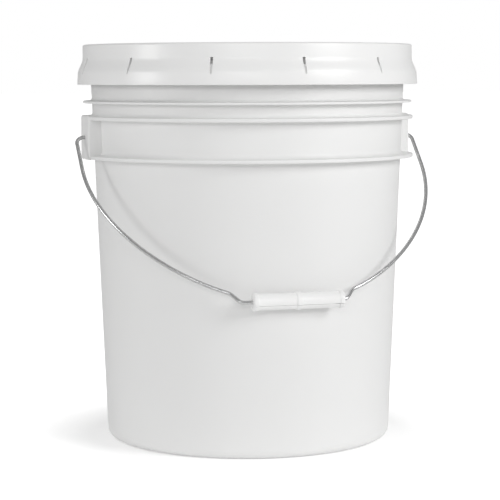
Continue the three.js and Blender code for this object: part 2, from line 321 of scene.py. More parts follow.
def add_pin(name: str, radius: float, start: float, end: float, sides: int) -> bpy.types.Object:
    """Adds a round pin along X.

    Args:
        name: the new piece's name.
        radius: its radius, in millimetres.
        start: the X of one end, in millimetres.
        end: the X of the other end.
        sides: the number of faces round it.

    Returns:
        The pin, with its place in its mesh.
    """
    deselect()
    bpy.ops.mesh.primitive_cylinder_add(
        vertices=sides,
        radius=radius * MM,
        depth=(end - start) * MM,
        location=((start + end) / 2 * MM, 0, 0),
        rotation=(0, math.pi / 2, 0),
    )
    piece = bpy.context.object
    piece.name = name
    return apply_place(piece)


def bevel_edges(
    piece: bpy.types.Object, chosen: Callable[[Vector, Vector], bool], width: float, segments: int
) -> None:
    """Rounds the edges of a piece that pass a test.

    Args:
        piece: the piece to shape.
        chosen: a test on an edge's two ends, which are in millimetres.
        width: the rounding's reach, in millimetres.
        segments: the number of faces across it.
    """
    focus(piece)
    bpy.ops.object.mode_set(mode="EDIT")
    bpy.ops.mesh.select_mode(type="EDGE")
    bpy.ops.mesh.select_all(action="DESELECT")
    mesh = bmesh.from_edit_mesh(piece.data)
    for edge in mesh.edges:
        edge.select_set(chosen(edge.verts[0].co / MM, edge.verts[1].co / MM))
    bmesh.update_edit_mesh(piece.data)
    bpy.ops.mesh.bevel(offset=width * MM, segments=segments, affect="EDGES")
    bpy.ops.object.mode_set(mode="OBJECT")


def select_vertices(piece: bpy.types.Object, chosen: Callable[[Vector], bool]) -> None:
    """Goes into edit mode and selects the vertices that pass a test.

    Args:
        piece: the piece to shape.
        chosen: a test on a vertex's place, which is in millimetres.
    """
    focus(piece)
    bpy.ops.object.mode_set(mode="EDIT")
    bpy.ops.mesh.select_mode(type="VERT")
    bpy.ops.mesh.select_all(action="DESELECT")
    mesh = bmesh.from_edit_mesh(piece.data)
    for vertex in mesh.verts:
        vertex.select_set(chosen(vertex.co / MM))
    bmesh.update_edit_mesh(piece.data)


def join(pieces: Sequence[bpy.types.Object]) -> bpy.types.Object:
    """Joins pieces into one.

    Args:
        pieces: the pieces, of which the first takes in the rest.

    Returns:
        The first piece.
    """
    deselect()
    for piece in pieces:
        piece.select_set(True)
    bpy.context.view_layer.objects.active = pieces[0]
    bpy.ops.object.join()
    return pieces[0]


def copies_about_z(
    piece: bpy.types.Object, count: int, centre: Point3 = (0, 0, 0)
) -> bpy.types.Object:
    """Copies a piece evenly round an upright axis and joins the copies.

    Args:
        piece: the first copy, in object mode.
        count: how many there are in a full turn.
        centre: a point on the axis, in metres.

    Returns:
        One object that holds them all.
    """
    every = [piece]
    for _ in range(count - 1):
        focus(every[-1])
        bpy.ops.object.duplicate()
        turn_by(FULL_TURN / count, "Z", centre)
        every.append(bpy.context.object)
    whole = join(every)
    return apply_place(whole)


def cut(piece: bpy.types.Object, cutter: bpy.types.Object) -> None:
    """Cuts one piece with another.

    Args:
        piece: the piece to cut.
        cutter: the closed solid to take away from it, which is then removed.
    """
    modifier = piece.modifiers.new("Cut", "BOOLEAN")
    modifier.operation = "DIFFERENCE"
    modifier.object = cutter
    modifier.solver = "EXACT"
    focus(piece)
    bpy.ops.object.modifier_apply(modifier=modifier.name)
    bpy.data.objects.remove(cutter)


# ---- Shader nodes ----

NODE_SPACING = 190


@dataclass
class Nodes:
    """Builds a node tree, left to right."""

    tree: bpy.types.NodeTree
    column: int = 0

    def add(
        self, kind: str, links: Links | None = None, **settings: object
    ) -> bpy.types.Node:
        """Adds a node.

        Args:
            kind: the node's type.
            links: its inputs by name or number, each an output socket or a constant.
            **settings: its own properties.

        Returns:
            The node.
        """
        node = self.tree.nodes.new(kind)
        node.location = (self.column * NODE_SPACING, 0)
        self.column += 1
        for key, value in settings.items():
            setattr(node, key, value)
        for key, value in (links or {}).items():
            socket = node.inputs[key]
            if isinstance(value, bpy.types.NodeSocket):
                self.tree.links.new(value, socket)
            else:
                socket.default_value = value
        return node

    def math(self, operation: str, *values: Value) -> bpy.types.NodeSocket:
        """Adds a Math node and returns its value."""
        links = dict(enumerate(values))
        return self.add("ShaderNodeMath", links, operation=operation).outputs[0]

    def spread(
        self, value: Value, low: float, high: float, to_low: float, to_high: float
    ) -> bpy.types.NodeSocket:
        """Maps a value from one range to another, clamped.

        Args:
            value: what is mapped.
            low: the value that gives to_low.
            high: the value that gives to_high.
            to_low: the first end of the new range.
            to_high: its other end.

        Returns:
            The mapped value.
        """
        links = {
            "Value": value,
            "From Min": low,
            "From Max": high,
            "To Min": to_low,
            "To Max": to_high,
        }
        return self.add("ShaderNodeMapRange", links).outputs["Result"]

    def noise(
        self, vector: Value, scale: Value, detail: float = 2.0, roughness: float = 0.5
    ) -> bpy.types.NodeSocket:
        """Adds a noise texture and returns its value."""
        links = {"Vector": vector, "Scale": scale, "Detail": detail, "Roughness": roughness}
        return self.add("ShaderNodeTexNoise", links).outputs["Fac"]

    def blend(self, factor: Value, first: Point3, second: Point3) -> bpy.types.NodeSocket:
        """Mixes two colours and returns the result."""
        links = {"Factor": factor, 6: (*first, 1), 7: (*second, 1)}
        return self.add("ShaderNodeMix", links, data_type="RGBA").outputs[2]

    def bump(self, height: Value, depth: float) -> bpy.types.NodeSocket:
        """Turns a height of 0 to 1 into a normal, for a depth in millimetres."""
        links = {"Height": height, "Strength": 1.0, "Distance": depth * MM}
        return self.add("ShaderNodeBump", links).outputs[0]

    def group(self, tree: bpy.types.NodeTree, vector: Value, **values: float) -> bpy.types.Node:
        """Places a node group.

        Args:
            tree: the group.
            vector: its Vector input.
            **values: its other inputs by name, with an underscore for each space.

        Returns:
            The group's node.
        """
        links = {name.replace("_", " "): value for name, value in values.items()}
        return self.add("ShaderNodeGroup", {"Vector": vector, **links}, node_tree=tree)


def new_group(
    name: str, inputs: dict[str, float], outputs: Iterable[str]
) -> tuple[bpy.types.NodeTree, Nodes, bpy.types.Node, bpy.types.Node]:
    """Starts a shader node group whose sockets are all numbers, besides its Vector input.

    Args:
        name: the group's name.
        inputs: each number that goes in, with its default.
        outputs: the names of the values that come out.

    Returns:
        The group, its node builder, its input node and its output node.
    """
    group = bpy.data.node_groups.new(name, "ShaderNodeTree")
    group.interface.new_socket("Vector", in_out="INPUT", socket_type="NodeSocketVector")
    for key, value in inputs.items():
        socket = group.interface.new_socket(key, in_out="INPUT", socket_type="NodeSocketFloat")
        socket.default_value = value
    for key in outputs:
        group.interface.new_socket(key, in_out="OUTPUT", socket_type="NodeSocketFloat")
    nodes = Nodes(group)
    return group, nodes, nodes.add("NodeGroupInput"), group.nodes.new("NodeGroupOutput")


def build_mould_grain() -> bpy.types.NodeTree:
    """Builds the fine skin of moulded plastic: a pebbled height and an uneven sheen.

    Returns:
        The group, with the outputs Height and Sheen, both about 0 to 1.
    """
    group, nodes, given, out = new_group(
        "mould_grain", {"Pebble Scale": 900.0, "Patch Scale": 22.0}, ("Height", "Sheen")
    )
    pebble = nodes.noise(given.outputs["Vector"], given.outputs["Pebble Scale"], 2.0, 0.55)
    patch = nodes.noise(given.outputs["Vector"], given.outputs["Patch Scale"], 4.0, 0.6)
    wide = nodes.spread(patch, 0.3, 0.7, 0.0, 1.0)
    fine_part = nodes.math("MULTIPLY", pebble, 0.8)
    height = nodes.math("ADD", fine_part, nodes.math("MULTIPLY", wide, 0.2))
    group.links.new(height, out.inputs["Height"])
    group.links.new(wide, out.inputs["Sheen"])
    return group


def build_scuffs() -> bpy.types.NodeTree:
    """Builds light handling marks: short hair scratches gathered in a few patches.

    Returns:
        The group, with the outputs Mask, 1 on a scratch, and Patch, 1 where they gather.
    """
    group, nodes, given, out = new_group("scuffs", {"Amount": 0.5}, ("Mask", "Patch"))
    source = given.outputs["Vector"]
    stretch = nodes.add(
        "ShaderNodeVectorMath", {0: source, 1: (1.0, 1.0, 9.0)}, operation="MULTIPLY"
    ).outputs[0]
    lines = nodes.noise(stretch, 60.0, 5.0, 0.7)
    off_line = nodes.math("ABSOLUTE", nodes.math("SUBTRACT", lines, 0.5))
    thin = nodes.spread(off_line, 0.0, 0.012, 1.0, 0.0)
    patch = nodes.noise(source, 9.0, 3.0, 0.55)
    where = nodes.spread(patch, 0.52, 0.7, 0.0, 1.0)
    mask = nodes.math("MULTIPLY", nodes.math("MULTIPLY", thin, where), given.outputs["Amount"])
    group.links.new(mask, out.inputs["Mask"])
    group.links.new(where, out.inputs["Patch"])
    return group


def build_settled_dust() -> bpy.types.NodeTree:
    """Builds the film of dust that lies on surfaces that face up.

    Returns:
        The group, with the output Mask, from 0 to its Amount.
    """
    group, nodes, given, out = new_group("settled_dust", {"Amount": 0.4}, ("Mask",))
    normal = nodes.add("ShaderNodeNewGeometry").outputs["Normal"]
    up = nodes.add("ShaderNodeSeparateXYZ", {0: normal}).outputs["Z"]
    facing = nodes.spread(up, 0.72, 0.98, 0.0, 1.0)
    drift = nodes.noise(given.outputs["Vector"], 30.0, 6.0, 0.65)
    cloud = nodes.spread(drift, 0.35, 0.7, 0.2, 1.0)
    mask = nodes.math("MULTIPLY", nodes.math("MULTIPLY", facing, cloud), given.outputs["Amount"])
    group.links.new(mask, out.inputs["Mask"])
    return group


# ---- Finishes ----


@dataclass
class Groups:
    """The node groups that the finishes share."""

    grain: bpy.types.NodeTree = field(default_factory=build_mould_grain)
    scuffs: bpy.types.NodeTree = field(default_factory=build_scuffs)
    dust: bpy.types.NodeTree = field(default_factory=build_settled_dust)


FIRST_COLUMN = -14  # the shader stands at column 0


def start_material(name: str) -> tuple[bpy.types.Material, Nodes, bpy.types.Node, Value]:
    """Starts a material.

    Args:
        name: the material's name.

    Returns:
        The material, its node builder, its Principled shader and the Object coordinates.
    """
    material = bpy.data.materials.new(name)
    material.use_nodes = True
    tree = material.node_tree
    shader = tree.nodes["Principled BSDF"]
    nodes = Nodes(tree, column=FIRST_COLUMN)
    place = nodes.add("ShaderNodeTexCoord").outputs["Object"]
    return material, nodes, shader, place


def dress_shader(
    nodes: Nodes, shader: bpy.types.Node, colour: Value, rough: Value, normal: Value
) -> None:
    """Feeds a surface to its shader.

    Args:
        nodes: the material's node builder.
        shader: its Principled shader.
        colour: the surface's colour.
        rough: its roughness.
        normal: its normal.
    """
    nodes.tree.links.new(colour, shader.inputs["Base Color"])
    nodes.tree.links.new(rough, shader.inputs["Roughness"])
    nodes.tree.links.new(normal, shader.inputs["Normal"])


@dataclass(frozen=True)
class MouldedPlastic:
    """White moulded polyethylene."""

    name: str
    colour: Point3
    shade: Point3  # the colour in its duller patches and scratches
    rough_low: float
    rough_high: float
    pebble_scale: float
    pebble_depth: float  # millimetres
    dust: float = 0.3
    scuffs: float = 0.4
    mark_tint: float = 0.8  # how much of the shade a scratch takes
    patch_tint: float = 0.04
    worn_rough: float = 0.05
    dust_rough: float = 0.25
    index: float = 1.54  # of refraction

    def build(self, groups: Groups) -> bpy.types.Material:
        """Builds the material.

        Args:
            groups: the shared node groups.

        Returns:
            The material.
        """
        material, nodes, shader, place = start_material(self.name)
        grain = nodes.group(groups.grain, place, Pebble_Scale=self.pebble_scale)
        scuffs = nodes.group(groups.scuffs, place, Amount=self.scuffs)
        dust = nodes.group(groups.dust, place, Amount=self.dust)
        marks = nodes.math("MULTIPLY", scuffs.outputs["Mask"], self.mark_tint)
        off_sheen = nodes.math("SUBTRACT", 1.0, grain.outputs["Sheen"])
        dull = nodes.math("MULTIPLY", off_sheen, self.patch_tint)
        tint = nodes.math("MAXIMUM", marks, nodes.math("ADD", dull, dust.outputs["Mask"]))
        colour = nodes.blend(tint, self.colour, self.shade)
        sheen = nodes.spread(grain.outputs["Sheen"], 0.0, 1.0, self.rough_high, self.rough_low)
        worn = nodes.math(
            "MULTIPLY_ADD", scuffs.outputs["Patch"], self.worn_rough * self.scuffs, sheen
        )
        rough = nodes.math("MULTIPLY_ADD", dust.outputs["Mask"], self.dust_rough, worn)
        height = nodes.math("SUBTRACT", grain.outputs["Height"], scuffs.outputs["Mask"])
        dress_shader(nodes, shader, colour, rough, nodes.bump(height, self.pebble_depth))
        shader.inputs["IOR"].default_value = self.index
        return material


@dataclass(frozen=True)
class SealRubber:
    """Grey food-grade rubber with a chalky bloom."""

    name: str = "grey_seal_rubber"
    colour: Point3 = (0.24, 0.245, 0.25)
    bloom: Point3 = (0.42, 0.42, 0.42)
    bloom_cover: float = 0.45
    rough_low: float = 0.55
    rough_high: float = 0.8
    grain_depth: float = 0.05  # millimetres
    index: float = 1.5  # of refraction

    def build(self, groups: Groups) -> bpy.types.Material:
        """Builds the material.

        Args:
            groups: the shared node groups.

        Returns:
            The material.
        """
        material, nodes, shader, place = start_material(self.name)
        grain = nodes.group(groups.grain, place, Pebble_Scale=1600.0, Patch_Scale=120.0)
        bloomed = nodes.math("MULTIPLY", grain.outputs["Sheen"], self.bloom_cover)
        colour = nodes.blend(bloomed, self.colour, self.bloom)
        rough = nodes.spread(grain.outputs["Sheen"], 0.0, 1.0, self.rough_low, self.rough_high)
        normal = nodes.bump(grain.outputs["Height"], self.grain_depth)
        dress_shader(nodes, shader, colour, rough, normal)
        shader.inputs["IOR"].default_value = self.index
        return material


@dataclass(frozen=True)
class GalvanisedWire:
    """Drawn steel wire with a dull zinc coat, brighter where it rubs."""

    name: str = "galvanised_wire"
    zinc: Point3 = (0.47, 0.475, 0.48)
    bright: Point3 = (0.68, 0.68, 0.68)
    rough_zinc: float = 0.3
    rough_bright: float = 0.18
    grain_depth: float = 0.02  # millimetres

    def build(self, groups: Groups) -> bpy.types.Material:
        """Builds the material.

        Args:
            groups: the shared node groups.

        Returns:
            The material.
        """
        material, nodes, shader, place = start_material(self.name)
        grain = nodes.group(groups.grain, place, Pebble_Scale=2600.0, Patch_Scale=160.0)
        spangle = nodes.add("ShaderNodeTexVoronoi", {"Vector": place, "Scale": 420.0})
        tone = nodes.spread(spangle.outputs["Distance"], 0.1, 0.8, 0.0, 0.6)
        mixed = nodes.math("MULTIPLY_ADD", grain.outputs["Sheen"], 0.5, tone)
        colour = nodes.blend(mixed, self.zinc, self.bright)
        rough = nodes.spread(mixed, 0.0, 1.0, self.rough_zinc, self.rough_bright)
        normal = nodes.bump(grain.outputs["Height"], self.grain_depth)
        dress_shader(nodes, shader, colour, rough, normal)
        shader.inputs["Metallic"].default_value = 1.0
        return material


PAIL_FINISH = MouldedPlastic(
    name="white_pail_plastic",
    colour=(0.83, 0.83, 0.825),
    shade=(0.74, 0.74, 0.735),
    rough_low=0.42,
    rough_high=0.5,
    pebble_scale=1100.0,
    pebble_depth=0.03,
)
LID_FINISH = MouldedPlastic(
    name="white_lid_plastic",
    colour=(0.86, 0.86, 0.855),
    shade=(0.76, 0.76, 0.75),
    rough_low=0.3,
    rough_high=0.36,
    pebble_scale=1300.0,
    pebble_depth=0.012,
    scuffs=0.3,
)
GRIP_FINISH = MouldedPlastic(
    name="white_grip_plastic",
    colour=(0.9, 0.9, 0.895),
    shade=(0.8, 0.8, 0.79),
    rough_low=0.3,
    rough_high=0.42,
    pebble_scale=1500.0,
    pebble_depth=0.02,
    dust=0.15,
    scuffs=0.6,
)


def dress(
    piece: bpy.types.Object, material: bpy.types.Material, body: Body, slot: Slot, *nodes: str
) -> None:
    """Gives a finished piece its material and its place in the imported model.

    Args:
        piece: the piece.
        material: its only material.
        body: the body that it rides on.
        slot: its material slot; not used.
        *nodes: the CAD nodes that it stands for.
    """
    piece.data.materials.clear()
    piece.data.materials.append(material)
    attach(piece, body.value)
    if nodes:
        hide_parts(*nodes)
    LOG.info("%s: %d faces, on %s", piece.name, len(piece.data.polygons), body.value)


# ---- Pail ----


@dataclass
class StackingRing:
    """One of the rings that keep nested pails from jamming."""

    underside: float  # its height above the floor
    reach: float  # out from the wall
    edge: float  # its thickness
    fillet: float  # the rounding between its top and the wall


@dataclass
class Pail:
    """The moulded pail with its rings, rim bead, floor and two bail ears."""

    height: float = 363.7
    foot_radius: float = 133.6
    rim_radius: float = 147.7
    wall: float = 2.3
    floor: float = 2.8
    floor_rise: float = 3.0
    foot_width: float = 14.0
    corner: float = 8.5
    bead_reach: float = 2.5
    bead_height: float = 8.5
    ring_slope: float = 0.6
    soft: float = 0.3  # the rounding of small steps
    firm: float = 0.8
    foot_round: float = 1.0
    gate: float = 5.6
    gate_step: float = 0.6
    ribs: tuple[float, float] = (40.0, 78.0)
    rib_width: float = 3.0
    rib_depth: float = 0.8
    ring_round: float = 0.7
    lip_round: float = 1.2
    steps: int = 256
    rings: tuple[StackingRing, ...] = (
        StackingRing(263.6, 11.7, 3.2, 4.0),
        StackingRing(299.3, 10.1, 3.2, 3.0),
        StackingRing(314.3, 8.4, 2.2, 2.5),
    )
    ear_width: float = 36.0
    ear_face: float = 155.72
    ear_bottom: float = 262.8
    ear_top: float = 303.7
    ear_corner: float = 4.0
    ear_bevel: float = 1.5
    ear_wall: float = 2.4
    ear_web: float = 7.6
    pocket_gap: float = 0.3
    pin_radius: float = 2.1
    pin_bottom: float = 146.3
    pin_sides: int = 32

    def outside(self, z: float) -> float:
        """Returns the wall's outer radius at a height."""
        return self.foot_radius + (self.rim_radius - self.foot_radius) * z / self.height

    def inside(self, z: float) -> float:
        """Returns the wall's inner radius at a height."""
        return self.outside(z) - self.wall

    def ring_corners(self, ring: StackingRing) -> list[Corner]:
        """Lays out a ring.

        Args:
            ring: the ring.

        Returns:
            Its corners, from its underside at the wall to its upper fillet.
        """
        edge = self.outside(ring.underside) + ring.reach
        top = ring.underside + ring.edge
        root = top + self.ring_slope
        return [
            Corner(self.outside(ring.underside), ring.underside, self.ring_round),
            Corner(edge, ring.underside, self.ring_round),
            Corner(edge, top, self.ring_round),
            Corner(self.outside(root), root, ring.fillet),
        ]

    def section(self) -> list[Point]:
        """Lays out the pail's section.

        Returns:
            Its points, from the axis under the floor to the axis above it.
        """
        foot_outer = self.outside(self.corner) - self.corner
        foot_inner = foot_outer - self.foot_width
        bead = self.rim_radius + self.bead_reach
        bead_bottom = self.height - self.bead_height
        rise = self.floor_rise
        corners = [
            Corner(0, rise - self.gate_step),
            Corner(self.gate - self.gate_step, rise - self.gate_step, 0.5),
            Corner(self.gate, rise, 0.5),
        ]
        for start in self.ribs:
            end = start + self.rib_width
            corners += ridge(start, end, rise, -self.rib_depth, self.gate_step, self.soft)
        corners += [
            Corner(foot_inner - rise, rise, self.foot_round),
            Corner(foot_inner, 0, self.foot_round),
            Corner(self.outside(0) - self.soft, 0, self.corner),
        ]
        for ring in self.rings:
            corners += self.ring_corners(ring)
        corners += [
            Corner(self.outside(bead_bottom), bead_bottom, self.firm),
            Corner(bead, bead_bottom + self.bead_reach / 2, self.firm),
            Corner(bead, self.height, self.lip_round),
            Corner(self.inside(self.height), self.height, 0.9),
            Corner(self.inside(self.floor), self.floor, self.corner - self.wall),
            Corner(foot_inner, self.floor, self.foot_round),
            Corner(foot_inner - rise, self.floor + rise, self.foot_round),
            Corner(0, self.floor + rise),
        ]
        return rounded(corners, closed=False)

    def ear(self) -> bpy.types.Object:
        """Models the ear on the +X side.

        Returns:
            A block with rounded corners, with a pocket each side of its pin hole.
        """
        half = self.ear_width / 2
        root = self.inside(self.ear_bottom) + self.wall / 2
        low = (root, -half, self.ear_bottom)
        high = (self.ear_face, half, self.ear_top)
        ear = add_block("bail_ear", low, high)
        bevel_edges(ear, lambda a, b: abs(a.x - b.x) > 1, self.ear_corner, 6)
        face = self.ear_face - 0.01
        bevel_edges(ear, lambda a, b: a.x > face and b.x > face, self.ear_bevel, 4)
        near = self.ear_web / 2
        far = half - self.ear_wall
        pocket_back = self.outside(self.ear_top) + self.pocket_gap
        for side in (1, -1):
            ends = sorted((side * near, side * far))
            pocket = add_block(
                "pocket",
                (pocket_back, ends[0], self.ear_bottom - 1),
                (self.ear_face - self.ear_wall, ends[1], self.ear_top - self.ear_wall),
            )
            bevel_edges(pocket, lambda a, b: True, self.firm, 3)
            cut(ear, pocket)
        pivot = (self.ear_bottom + self.ear_top) / 2
        face_past = self.ear_face + 1
        hole = add_pin("hole", self.pin_radius, self.pin_bottom, face_past, self.pin_sides)
        focus(hole)
        bpy.ops.transform.translate(value=(0, 0, pivot * MM))
        cut(ear, apply_place(hole))
        return smooth(ear)

    def build(self) -> list[bpy.types.Object]:
        """Models the pail and its ears.

        Returns:
            The pail's shell, the right ear and the left ear.
        """
        shell = smooth(turn_section("pail", self.section(), closed=False, steps=self.steps))
        right = self.ear()
        right.name = "bail_ear_right"
        focus(right)
        bpy.ops.object.duplicate()
        left = bpy.context.object
        left.name = "bail_ear_left"
        turn_by(math.pi, "Z")
        apply_place(left)
        return [shell, right, left]

    def dress(self, pieces: Sequence[bpy.types.Object], material: bpy.types.Material) -> None:
        """Dresses the pail and its ears.

        Args:
            pieces: the shell and the ears.
            material: the plastic that they share.
        """
        shell, *ears = pieces
        dress(shell, material, Body.BUCKET, Slot.PAIL, "bucket")
        for ear in ears:
            dress(ear, material, Body.BUCKET, Slot.PAIL)


# ---- Lid ----


@dataclass
class Lid:
    """The lid: a recessed panel, a channel over the pail's rim and a flared skirt with slits."""

    top: float = 368.3
    ceiling: float = 366.3
    wall: float = 2.0
    panel_top: float = 352.5
    plateau: float = 62.0
    plateau_rise: float = 1.2
    round: float = 2.0
    plug: float = 144.49
    band: float = 154.0
    band_bottom: float = 356.0
    flare: float = 158.6
    flare_bottom: float = 342.3
    skirt: float = 159.3
    skirt_bottom: float = 331.5
    snap: float = 150.5
    snap_top: float = 354.9
    snap_height: float = 3.0
    slits: int = 12
    slit_width: float = 2.6
    slit_top: float = 355.5
    slit_height: float = 6.0
    slit_round: float = 0.5
    score_width: float = 2.3
    score_length: float = 8.5
    score_left: float = 1.55  # the wall that is left behind the score line
    score_overlap: float = 0.3
    score_round: float = 0.6
    flare_steps: int = 10
    first_slit: float = 2.6  # degrees from -Y towards +X
    cutter_outer: float = 160.3
    cutter_inner: float = 149.2
    panel_ring: float = 104.0
    panel_ring_width: float = 3.5
    panel_ring_rise: float = 0.7
    gate: float = 6.0
    gate_slope: float = 0.8
    gate_dip: float = 0.7
    pip_foot: float = 2.0
    pip_top: float = 1.4
    pip_rise: float = 0.3
    soft: float = 0.5  # the rounding of small steps
    firm: float = 0.8
    port_radius: float = 6.35
    port_offset: float = 84.0
    port_sides: int = 96
    smooth_angle: float = 28.0  # degrees
    steps: int = 288

    def section(self) -> list[Point]:
        """Lays out the lid's section.

        Returns:
            Its points, from the axis under the panel to the axis above it.
        """
        under = self.panel_top - self.wall
        rise = self.plateau_rise
        inner_band = self.band - self.wall
        ramp = inner_band - self.snap
        pull = (self.band_bottom - self.flare_bottom) / 3
        draft = self.skirt - self.flare
        lower = [
            Corner(0, under + rise),
            Corner(self.plateau - rise, under + rise, self.firm),
            Corner(self.plateau, under, self.firm),
            Corner(self.plug, under, self.round),
            Corner(self.plug, self.ceiling, self.firm),
            Corner(inner_band, self.ceiling, self.firm),
            Corner(inner_band, self.snap_top + ramp, self.soft),
            Corner(self.snap, self.snap_top, self.soft),
            Corner(self.snap, self.snap_top - self.snap_height, self.soft),
            Corner(self.flare - self.wall, self.flare_bottom, 1.5),
            Corner(self.skirt - self.wall, self.skirt_bottom, 0.4),
            Corner(self.skirt, self.skirt_bottom, 0.6),
            Corner(self.flare, self.flare_bottom),
        ]
        flare = bezier(
            (
                (self.flare, self.flare_bottom),
                (self.flare - draft, self.flare_bottom + pull),
                (self.band, self.band_bottom - pull),
                (self.band, self.band_bottom),
            ),
            self.flare_steps,
        )
        plug_inner = self.plug - self.wall
        ring_end = self.panel_ring - self.panel_ring_width
        middle = self.panel_top + rise
        upper = [
            Corner(self.band, self.band_bottom),
            Corner(self.band, self.top, self.round),
            Corner(plug_inner, self.top, self.round),
            Corner(plug_inner, self.panel_top, self.round),
            *ridge(
                self.panel_ring, ring_end, self.panel_top, self.panel_ring_rise, 1.0, self.soft
            ),
            Corner(self.plateau, self.panel_top, self.firm),
            Corner(self.plateau - rise, middle, self.firm),
            Corner(self.gate, middle, 0.4),
            Corner(self.gate - self.gate_slope, middle - self.gate_dip, 0.4),
            Corner(self.pip_foot, middle - self.gate_dip, 0.4),
            Corner(self.pip_top, middle + self.pip_rise, 0.4),
            Corner(0, middle + self.pip_rise),
        ]
        below = rounded(lower, closed=False)
        above = rounded(upper, closed=False)
        return [*below, *flare[:-1], *above]

    def slit_cutters(self) -> list[bpy.types.Object]:
        """Models what cuts the skirt's slits.

        Returns:
            One object with every slit's window, and one with every score line.
        """
        bottom = self.slit_top - self.slit_height
        half = self.slit_width / 2
        window = add_block(
            "window", (-half, -self.cutter_outer, bottom), (half, -self.cutter_inner, self.slit_top)
        )
        bevel_edges(window, lambda a, b: abs(a.y - b.y) > 1, self.slit_round, 3)
        half = self.score_width / 2
        deep_top = -(self.band - self.wall + self.score_left)
        deep_bottom = -(self.flare - self.wall + self.score_left)
        score = add_block(
            "score",
            (-half, -self.cutter_outer, bottom - self.score_length),
            (half, deep_top, bottom + self.score_overlap),
        )
        select_vertices(score, lambda at: at.y > deep_top - 1 and at.z < bottom - 1)
        bpy.ops.transform.translate(value=(0, (deep_bottom - deep_top) * MM, 0))
        bpy.ops.object.mode_set(mode="OBJECT")
        bevel_edges(
            score, lambda a, b: abs(a.y - b.y) > 1 and a.z < bottom - 1, self.score_round, 3
        )
        cutters = []
        for part in (window, score):
            focus(part)
            turn_by(math.radians(self.first_slit), "Z")
            cutters.append(copies_about_z(apply_place(part), self.slits))
        return cutters

    def build(self) -> bpy.types.Object:
        """Models the lid.

        Returns:
            The lid, with its slits and the grommet's hole.
        """
        lid = turn_section("lid_cover", self.section(), closed=False, steps=self.steps)
        for cutter in self.slit_cutters():
            cut(lid, cutter)
        deselect()
        bpy.ops.mesh.primitive_cylinder_add(
            vertices=self.port_sides,
            radius=self.port_radius * MM,
            depth=4 * self.wall * MM,
            location=(0, self.port_offset * MM, (self.panel_top - self.wall / 2) * MM),
        )
        cut(lid, apply_place(bpy.context.object))
        return smooth(lid, math.radians(self.smooth_angle))


# ---- Seals ----


@dataclass
class Gasket:
    """The rubber ring between the pail's rim and the lid."""

    inner: float = 145.7
    width: float = 4.4
    bottom: float = 364.0
    top: float = 366.0
    groove_half: float = 0.8
    groove_depth: float = 0.5
    steps: int = 256

    def build(self) -> bpy.types.Object:
        """Models the gasket.

        Returns:
            The ring, with a shallow groove in its upper side.
        """
        outer = self.inner + self.width
        middle = self.inner + self.width / 2
        corners = [
            Corner(self.inner, self.bottom, 0.4),
            Corner(outer, self.bottom, 0.4),
            Corner(outer, self.top, 0.7),
            Corner(middle + self.groove_half, self.top, 0.2),
            Corner(middle, self.top - self.groove_depth, 0.3),
            Corner(middle - self.groove_half, self.top, 0.2),
            Corner(self.inner, self.top, 0.7),
        ]
        section = rounded(corners, closed=True, arc_steps=4)
        return smooth(turn_section("rim_gasket", section, closed=True, steps=self.steps))


@dataclass
class Grommet:
    """The rubber grommet that holds an airlock's stem in the lid."""

    offset: float = 84.0
    bore: float = 4.75
    neck: float = 6.05
    flange: float = 9.5
    bottom: float = 348.0
    top: float = 355.0
    panel_bottom: float = 350.2
    panel_top: float = 352.8
    lip: float = 1.3  # the raised edge round the bore
    lip_foot: float = 2.2
    lip_rise: float = 0.35
    groove_start: float = 0.9  # below the upper flange, in the bore
    groove_middle: float = 1.3
    groove_end: float = 1.7
    groove_depth: float = 0.25
    steps: int = 96

    def build(self) -> bpy.types.Object:
        """Models the grommet.

        Returns:
            The grommet, with its lipped bore, in its place in the lid.
        """
        corners = [
            Corner(self.bore, self.bottom, 0.7),
            Corner(self.flange, self.bottom, 0.9),
            Corner(self.flange, self.panel_bottom, 0.3),
            Corner(self.neck, self.panel_bottom, 0.2),
            Corner(self.neck, self.panel_top, 0.2),
            Corner(self.flange, self.panel_top, 0.3),
            Corner(self.flange, self.top, 1.2),
            Corner(self.bore + self.lip_foot, self.top - self.lip_rise, 0.4),
            Corner(self.bore + self.lip, self.top, 0.4),
            Corner(self.bore, self.top, 0.6),
            Corner(self.bore, self.panel_top - self.groove_start, 0.2),
            Corner(self.bore + self.groove_depth, self.panel_top - self.groove_middle, 0.1),
            Corner(self.bore, self.panel_top - self.groove_end, 0.2),
        ]
        section = rounded(corners, closed=True, arc_steps=4)
        grommet = turn_section("stem_grommet", section, closed=True, steps=self.steps)
        focus(grommet)
        bpy.ops.transform.translate(value=(0, self.offset * MM, 0))
        return smooth(apply_place(grommet))


# ---- Bail ----


@dataclass
class BailFrame:
    """Where the bail hangs at rest: its pivot line and its lean out of the vertical."""

    pivot: float = 283.25
    reach: float = 203.4
    lean: float = 46.5505  # degrees from straight down towards -Y

    def place(self, piece: bpy.types.Object) -> bpy.types.Object:
        """Swings a piece to where it rests.

        Args:
            piece: a piece made hanging straight down from the origin.

        Returns:
            The same piece.
        """
        focus(piece)
        turn_by(math.radians(-self.lean), "X")
        bpy.ops.transform.translate(value=(0, 0, self.pivot * MM))
        return apply_place(piece)


